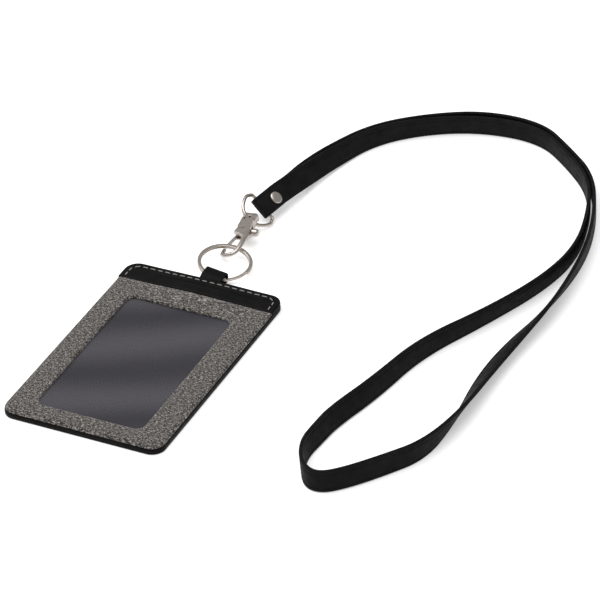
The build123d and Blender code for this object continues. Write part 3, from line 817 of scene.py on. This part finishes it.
def hook_gate():
    """The gate's casting: hub, ribbed arm, thumb plate and round knob."""
    count = 40
    hub = lathe([(0.78, -1.98), (1.7, -1.98), (1.75, -1.8), (1.75, -0.15), (1.65, 0.0), (0.78, 0.0)], count)
    # The hub's two end faces give way to a bore for the pin.
    hub = (hub[0], hub[1][:-2] + [(k, (k + 1) % count, 5 * count + (k + 1) % count, 5 * count + k)
                                 for k in range(count)])
    hub = moved(hub, Matrix.Translation((0, PIN_Y, 0)))
    arm = prism([(-1.7, 18.4), (-3.0, 14.0), (-4.05, 7.5), (-3.7, 6.95), (-2.9, 6.85), (-1.6, 13.4),
                 (-1.0, 16.6)], -1.95, -0.85)
    rib = tube([Vector((-1.9, 16.4, -1.0)), Vector((-2.5, 12.0, -1.0)), Vector((-3.3, 8.0, -1.0))], 0.3, 10)
    thumb = prism([(1.1, 20.6), (4.4, 20.3), (4.9, 16.6), (3.6, 16.0), (1.3, 17.4)], -1.95, -0.05)
    turn = Matrix.Translation((6.0, 18.4, -0.3)) @ Matrix.Rotation(math.radians(90), 4, "Y")
    knob = moved(lathe([(0.1, -1.9), (1.1, -1.85), (1.5, -1.5), (1.7, -0.8), (1.72, 0.4), (1.6, 1.2),
                        (1.2, 1.7), (0.1, 2.0)], 32), turn)
    cast("gate_casting", join(hub, arm, rib, thumb, knob),
         voxel=0.14, smoothing=9, body="gate", node="hook_gate")


def d_ring():
    """The wire D: its bar inside the strap's fold and its bow outside it."""
    side = [(0, 0), (0, 5.4), (0, 6.9), (-1.3, 7.5), (-3.4, 8.3), (-8.2, 6.1), (-10.8, 2.9)]
    route = side + [(-10.8, 0)] + [(x, -y) for x, y in reversed(side)]
    line = spline_points([Vector((x * MM, y * MM, 0)) for x, y in route], 10)
    ring = tube(line, D_WIRE_R, 20)
    add_piece("d_ring_wire", moved(ring, end_frame()), MATERIALS["ring_nickel"], "d_ring",
              ("d_ring",))


def dress_nodes():
    """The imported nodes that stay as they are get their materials."""
    for node, name in (("split_ring", "ring_nickel"), ("gate_pin", "nickel"),
                       ("gate_spring", "spring_steel"), ("rivet_base", "nickel"),
                       ("back_board", "grey_board"), ("front_spacer", "grey_board"),
                       ("front_board", "grey_board")):
        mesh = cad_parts[node].data
        mesh.materials.clear()
        mesh.materials.append(MATERIALS[name])


# ---------------------------------------------------------------- stage
FLOOR_SIZE = 6.0
FLOOR_LEVEL = -0.05 * MM
FLOOR_GLOW = 0.38          # lifts the shadows on the floor, as on a light table
SURROUND_STRENGTH = 0.42


def camera_axes():
    """The camera's right, up and backward directions before it is rolled."""
    right = Vector((math.cos(CAMERA_AZIMUTH), math.sin(CAMERA_AZIMUTH), 0))
    ahead = UP.cross(right)
    up = ahead * math.sin(CAMERA_ELEVATION) + UP * math.cos(CAMERA_ELEVATION)
    return right, up, right.cross(up)


def build_camera():
    """The camera that takes the photo's view."""
    right, up, back = camera_axes()
    c, s = math.cos(CAMERA_ROLL), math.sin(CAMERA_ROLL)
    data = bpy.data.cameras.new("camera")
    data.lens = CAMERA_LENS
    data.sensor_width = 36.0
    data.clip_start = 0.05
    data.clip_end = 20.0
    camera = bpy.data.objects.new("camera", data)
    scene.collection.objects.link(camera)
    camera.matrix_world = axes(CAMERA_TARGET + back * CAMERA_DISTANCE,
                               right * c - up * s, right * s + up * c, back)
    scene.camera = camera


def add_light(name, place, target, size, power):
    """A square softbox aimed at a point; its size in metres and its power in watts."""
    data = bpy.data.lights.new(name, "AREA")
    data.shape = "RECTANGLE"
    data.size = data.size_y = size
    data.energy = power
    light = bpy.data.objects.new(name, data)
    scene.collection.objects.link(light)
    light.location = place
    light.rotation_mode = "QUATERNION"
    light.rotation_quaternion = (Vector(target) - Vector(place)).to_track_quat("-Z", "Y")


def build_stage():
    """A pale floor, an even surround and soft lights."""
    floor_material = new_material("floor", (0.86, 0.86, 0.86), 0.85, Specular_IOR_Level=0.1,
                                  Emission_Color=(1, 1, 1, 1), Emission_Strength=FLOOR_GLOW)[0]
    half = FLOOR_SIZE / 2
    corners = [(x, y, FLOOR_LEVEL) for x, y in ((-half, -half), (half, -half), (half, half), (-half, half))]
    mesh = bpy.data.meshes.new("floor")
    mesh.from_pydata(corners, [], [(0, 1, 2, 3)])
    mesh.materials.append(floor_material)
    floor = bpy.data.objects.new("floor", mesh)
    scene.collection.objects.link(floor)
    world = bpy.data.worlds.new("surround")
    world.use_nodes = True
    world.node_tree.nodes["Background"].inputs["Color"].default_value = (1.0, 1.0, 1.0, 1.0)
    world.node_tree.nodes["Background"].inputs["Strength"].default_value = SURROUND_STRENGTH
    scene.world = world
    centre = (0.05, 0.06, 0.0)
    add_light("overhead", (-0.15, -0.1, 1.5), centre, size=1.6, power=20.0)
    add_light("key", (-0.8, 0.1, 1.0), centre, size=0.7, power=4.0)


build_camera()
build_rivet()
build_strap()
back_cover()
fabric_front()
top_band()
band_stitching()
wavy_sheet("window_sheet", FILM_LOW, FILM_HIGH, 0.12 * MM, "clear_film", "window_film")
wavy_sheet("card_lining", *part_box("pocket_lining"), 0.02 * MM, "charcoal_lining", "pocket_lining")
tab_strip()
hook_body()
hook_gate()
d_ring()
dress_nodes()
build_stage()
